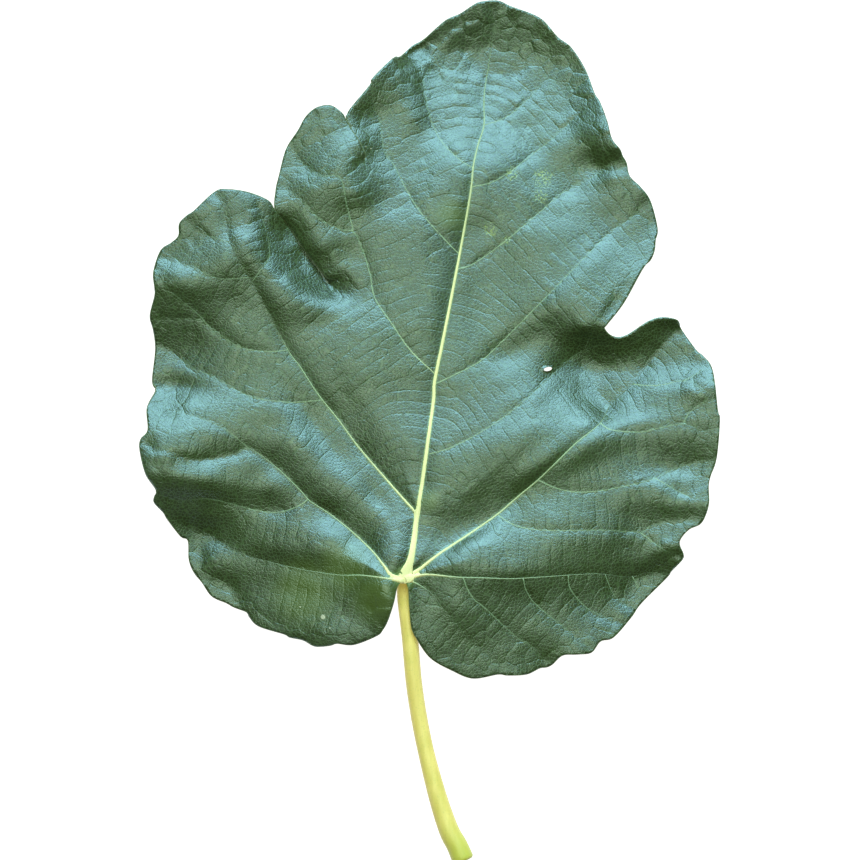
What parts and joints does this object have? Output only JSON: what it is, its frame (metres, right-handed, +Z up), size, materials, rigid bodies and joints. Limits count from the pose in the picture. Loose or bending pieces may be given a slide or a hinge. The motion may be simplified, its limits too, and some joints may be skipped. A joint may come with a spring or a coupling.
{
  "type": "fig leaf",
  "caption": "Lobed fig leaf lying flat, upper side up, with a waved blade, raised ribs below and a curved round stalk cut at its end.",
  "frame": {"origin": "on the resting surface, under the middle of the whole leaf's width and length", "axes": "+Y towards the leaf's tip, away from the stalk's cut end; +Z up from the surface; +X to the right as seen from above with the tip away from the viewer"},
  "size_m": [0.174, 0.2598, 0.0134],
  "materials": {
    "leaf_blade": "leathery deep green upper side with a soft sheen, paler grey green underside",
    "stalk_and_ribs": "smooth fresh yellow green stalk and ribs with a satin skin"
  },
  "bodies": {
    "root": {"leaf_blade": "leaf_blade", "stalk_and_ribs": "stalk_and_ribs"}
  },
  "joints": []
}
